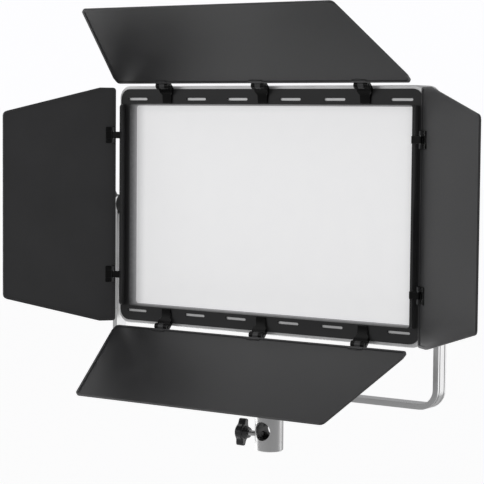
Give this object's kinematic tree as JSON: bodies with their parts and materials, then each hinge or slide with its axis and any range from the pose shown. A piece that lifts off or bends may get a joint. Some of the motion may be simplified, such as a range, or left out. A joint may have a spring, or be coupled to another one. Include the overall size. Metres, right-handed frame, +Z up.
{
  "type": "led panel light",
  "caption": "Rectangular panel light with a flat diffuser, folding barn doors on all sides, rear battery plates and controls, tilting in a U yoke with a spigot receiver.",
  "frame": {"origin": "middle of the stand receiver's lower face, on the axis of its bore", "axes": "+X to the right seen from the front, along the lamp's width; the light shines towards -Y; +Z up along the stand"},
  "size_m": [0.5357, 0.1834, 0.4409],
  "materials": {
    "satin_aluminium": "satin",
    "silver_paint": "satin",
    "black_sheet": "satin",
    "black_frame": "satin",
    "grey_plastic": "satin",
    "hinge_black": "gloss",
    "gloss_black": "gloss",
    "black_plastic": "satin",
    "black_grip": "satin",
    "steel": "satin",
    "rubber": "matte",
    "white_diffuser": "matte",
    "white_plastic": "satin",
    "circuit_board": "satin",
    "display_glass": "gloss"
  },
  "bodies": {
    "yoke_frame": {"yoke": "satin_aluminium", "stand_receiver": "satin_aluminium", "receiver_bolt": "steel"},
    "head": {"friction_washer_left": "rubber", "friction_washer_right": "rubber", "front_housing": "silver_paint", "barn_door_frame": "black_frame", "window_bezel": "grey_plastic", "diffuser": "white_diffuser", "light_box": "white_plastic", "led_board": "white_plastic", "heat_spreader": "satin_aluminium", "rear_cover": "silver_paint", "driver_board": "circuit_board", "control_panel": "black_frame", "display_window": "display_glass", "power_socket": "gloss_black", "battery_plate_left": "black_plastic", "battery_plate_right": "black_plastic", "top_hinge_strap_1": "hinge_black", "top_hinge_strap_2": "hinge_black", "top_hinge_strap_3": "hinge_black", "bottom_hinge_strap_1": "hinge_black", "bottom_hinge_strap_2": "hinge_black", "bottom_hinge_strap_3": "hinge_black", "left_hinge_strap_1": "hinge_black", "left_hinge_strap_2": "hinge_black", "right_hinge_strap_1": "hinge_black", "right_hinge_strap_2": "hinge_black", "top_hinge_pin_1": "steel", "top_hinge_pin_2": "steel", "top_hinge_pin_3": "steel", "bottom_hinge_pin_1": "steel", "bottom_hinge_pin_2": "steel", "bottom_hinge_pin_3": "steel", "left_hinge_pin_1": "steel", "left_hinge_pin_2": "steel", "right_hinge_pin_1": "steel", "right_hinge_pin_2": "steel"},
    "clamp_tip": {"clamp_tip": "steel"},
    "clamp_screw": {"clamp_screw": "steel", "clamp_knob": "black_grip"},
    "tilt_knob_left": {"tilt_knob_left": "black_grip", "tilt_screw_left": "steel"},
    "tilt_knob_right": {"tilt_knob_right": "black_grip", "tilt_screw_right": "steel"},
    "top_door": {"top_door": "black_sheet"},
    "bottom_door": {"bottom_door": "black_sheet"},
    "left_door": {"left_door": "black_sheet"},
    "right_door": {"right_door": "black_sheet"},
    "dimmer_knob": {"dimmer_knob": "black_grip"},
    "colour_knob": {"colour_knob": "black_grip"},
    "menu_button": {"menu_button": "black_grip"},
    "power_switch": {"power_switch": "gloss_black"},
    "battery_release_left": {"battery_release_left": "black_grip"},
    "battery_release_right": {"battery_release_right": "black_grip"}
  },
  "joints": [
    {"name": "clamp_slide", "type": "slide", "parent": "yoke_frame", "child": "clamp_tip", "axis": [1, 0, 0], "range_m": [-0.0026, 0.0021]},
    {"name": "clamp_turn", "type": "hinge", "parent": "clamp_tip", "child": "clamp_screw", "pos_m": [-0.0144, 0, 0.015], "axis": [1, 0, 0], "range_deg": [-720, 576]},
    {"name": "head_tilt", "type": "hinge", "parent": "yoke_frame", "child": "head", "pos_m": [0, 0, 0.243], "axis": [-1, 0, 0], "range_deg": [-7.5, 90]},
    {"name": "tilt_knob_left_turn", "type": "hinge", "parent": "head", "child": "tilt_knob_left", "pos_m": [-0.1957, 0, 0.243], "axis": [-1, 0, 0], "range_deg": [0, 360]},
    {"name": "tilt_knob_right_turn", "type": "hinge", "parent": "head", "child": "tilt_knob_right", "pos_m": [0.1957, 0, 0.243], "axis": [1, 0, 0], "range_deg": [0, 360]},
    {"name": "top_door_fold", "type": "hinge", "parent": "head", "child": "top_door", "pos_m": [0, -0.024, 0.367], "axis": [-1, 0, 0], "range_deg": [-126.3, 53.7]},
    {"name": "bottom_door_fold", "type": "hinge", "parent": "head", "child": "bottom_door", "pos_m": [0, -0.024, 0.119], "axis": [1, 0, 0], "range_deg": [-119.1, 60.9]},
    {"name": "left_door_fold", "type": "hinge", "parent": "head", "child": "left_door", "pos_m": [-0.182, -0.0243, 0.243], "axis": [0, 0, -1], "range_deg": [-128.6, 51.4]},
    {"name": "right_door_fold", "type": "hinge", "parent": "head", "child": "right_door", "pos_m": [0.182, -0.0243, 0.243], "axis": [0, 0, 1], "range_deg": [-143.7, 36.3]},
    {"name": "dimmer_turn", "type": "hinge", "parent": "head", "child": "dimmer_knob", "pos_m": [-0.056, 0.0387, 0.177], "axis": [0, -1, 0], "continuous": true},
    {"name": "colour_turn", "type": "hinge", "parent": "head", "child": "colour_knob", "pos_m": [0.028, 0.0387, 0.177], "axis": [0, -1, 0], "continuous": true},
    {"name": "menu_press", "type": "slide", "parent": "head", "child": "menu_button", "axis": [0, -1, 0], "range_m": [0, 0.001], "stiffness_N_per_m": 500, "springref_m": -0.001},
    {"name": "switch_rock", "type": "hinge", "parent": "head", "child": "power_switch", "pos_m": [0.06, 0.0375, 0.187], "axis": [1, 0, 0], "range_deg": [0, 12]},
    {"name": "battery_release_left_press", "type": "slide", "parent": "head", "child": "battery_release_left", "axis": [0, 0, -1], "range_m": [0, 0.002], "stiffness_N_per_m": 600, "springref_m": -0.002},
    {"name": "battery_release_right_press", "type": "slide", "parent": "head", "child": "battery_release_right", "axis": [0, 0, -1], "range_m": [0, 0.002], "stiffness_N_per_m": 600, "springref_m": -0.002}
  ],
  "couplings": [
    {"joint": "clamp_slide", "follows": "clamp_turn", "m_per_rad": 0.00019894}
  ]
}
